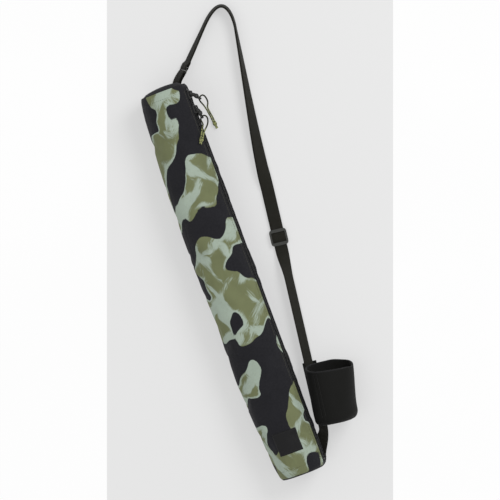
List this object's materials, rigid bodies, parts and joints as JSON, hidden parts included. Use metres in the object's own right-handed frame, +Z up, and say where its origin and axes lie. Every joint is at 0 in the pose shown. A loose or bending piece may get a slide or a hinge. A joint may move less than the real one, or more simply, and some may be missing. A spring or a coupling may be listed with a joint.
{
  "type": "insulated can sling",
  "caption": "Long padded fabric tube for a row of drink cans, with a full-length zip, a webbing shoulder strap with adjuster, and a soft can holder that slides on the strap.",
  "frame": {"origin": "middle of the flat strip that the tube rests on, at half of the tube's length", "axes": "+Y along the tube to its top end, where the zip sliders and the strap's ring are; +X to the zip side; +Z up from the floor to the printed front"},
  "size_m": [0.1946, 0.7275, 0.0883],
  "materials": {
    "printed_fabric": "woven, printed",
    "black_fabric": "woven",
    "foam": "closed-cell foam",
    "liner": "coated, satin",
    "binding": "woven tape",
    "zip_tape": "knitted tape",
    "zip_teeth": "moulded",
    "painted_metal": "satin black",
    "tab_rubber": "matt",
    "cord": "braided",
    "knot": "braided, knotted",
    "label": "woven label",
    "webbing": "woven webbing",
    "moulded_plastic": "satin",
    "neoprene": "foam rubber with knit face"
  },
  "bodies": {
    "bag": {"front_panel": "printed_fabric", "back_panel": "black_fabric", "foam_sleeve": "foam", "liner_sleeve": "liner", "top_cap": "black_fabric", "bottom_cap": "black_fabric", "top_foam_disc": "foam", "bottom_foam_disc": "foam", "top_piping": "binding", "bottom_piping": "binding", "top_liner_disc": "liner", "bottom_liner_disc": "liner", "label_patch": "label", "zip_tape_front": "zip_tape", "zip_tape_back": "zip_tape", "zip_teeth_front": "zip_teeth", "zip_teeth_back": "zip_teeth", "zip_stop_top": "painted_metal", "zip_stop_bottom": "painted_metal", "shoulder_strap": "webbing", "strap_return": "webbing", "anchor_tab": "webbing", "strap_ring": "moulded_plastic"},
    "upper_slider": {"zip_slider_upper": "painted_metal"},
    "upper_tab": {"pull_tab_upper": "tab_rubber", "pull_cord_upper": "cord", "cord_knot_upper": "knot"},
    "lower_slider": {"zip_slider_lower": "painted_metal"},
    "lower_tab": {"pull_tab_lower": "tab_rubber", "pull_cord_lower": "cord", "cord_knot_lower": "knot"},
    "glide": {"tri_glide": "moulded_plastic"},
    "holder": {"holder_sleeve": "neoprene", "holder_base": "neoprene", "holder_binding": "binding", "holder_channel": "neoprene"}
  },
  "joints": [
    {"name": "upper_slider_run", "type": "slide", "parent": "bag", "child": "upper_slider", "axis": [0, -1, 0], "range_m": [0, 0.004]},
    {"name": "upper_tab_swing", "type": "hinge", "parent": "upper_slider", "child": "upper_tab", "pos_m": [0.04429, 0.2954, 0.05952], "axis": [-0.342, 0, 0.9397], "range_deg": [-20, 100], "deforming": ["pull_cord_upper", "cord_knot_upper"]},
    {"name": "lower_slider_run", "type": "slide", "parent": "bag", "child": "lower_slider", "axis": [0, -1, 0], "range_m": [0, 0.566]},
    {"name": "lower_tab_swing", "type": "hinge", "parent": "lower_slider", "child": "lower_tab", "pos_m": [0.04429, 0.2714, 0.05952], "axis": [-0.342, 0, 0.9397], "range_deg": [-8, 75], "deforming": ["pull_cord_lower", "cord_knot_lower"]},
    {"name": "glide_run", "type": "slide", "parent": "bag", "child": "glide", "axis": [0.1253, 0.9921, 0], "range_m": [-0.005, 0.06], "deforming": ["strap_return"]},
    {"name": "holder_run", "type": "slide", "parent": "bag", "child": "holder", "axis": [0.1288, 0.9917, 0], "range_m": [0, 0.123]}
  ]
}
